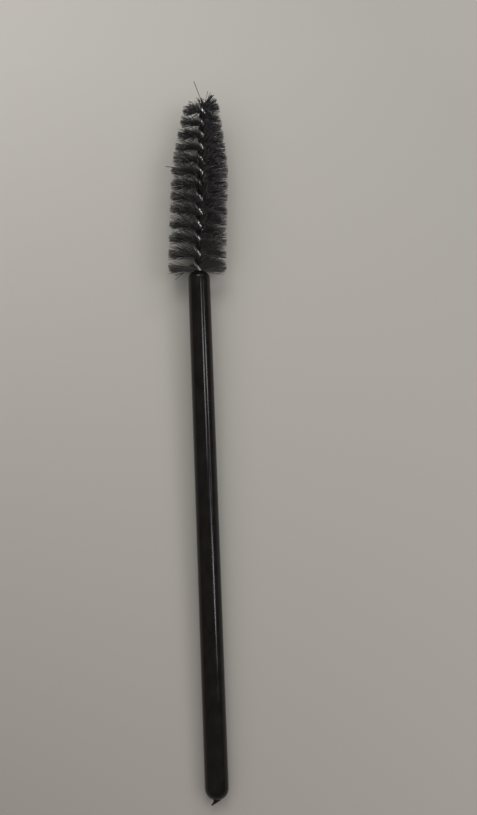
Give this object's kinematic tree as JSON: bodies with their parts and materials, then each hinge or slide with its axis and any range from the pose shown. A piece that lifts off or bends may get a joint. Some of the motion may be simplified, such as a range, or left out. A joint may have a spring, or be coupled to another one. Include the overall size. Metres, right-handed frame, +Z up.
{
  "type": "eyebrow brush",
  "caption": "Disposable eyebrow brush with a slim moulded handle and a tapered spiral head of fine bristles gripped in a twisted wire.",
  "frame": {"origin": "on the resting surface, under the middle of the brush's length and on the line of the handle", "axes": "+Y along the brush from the tail of the handle to the tip of the head, +X to the right seen from above, +Z up from the surface that it lies on"},
  "size_m": [0.0092, 0.1032, 0.0087],
  "materials": {
    "handle_plastic": "glossy",
    "wire_steel": "dull drawn",
    "bristle_nylon": "satin"
  },
  "bodies": {
    "root": {"handle": "handle_plastic", "core_wire": "wire_steel", "stray_bristles": "bristle_nylon", "bristle_row_01": "bristle_nylon", "bristle_row_02": "bristle_nylon", "bristle_row_03": "bristle_nylon", "bristle_row_04": "bristle_nylon", "bristle_row_05": "bristle_nylon", "bristle_row_06": "bristle_nylon", "bristle_row_07": "bristle_nylon", "bristle_row_08": "bristle_nylon", "bristle_row_09": "bristle_nylon", "bristle_row_10": "bristle_nylon", "bristle_row_11": "bristle_nylon", "bristle_row_12": "bristle_nylon", "bristle_row_13": "bristle_nylon"}
  },
  "joints": []
}
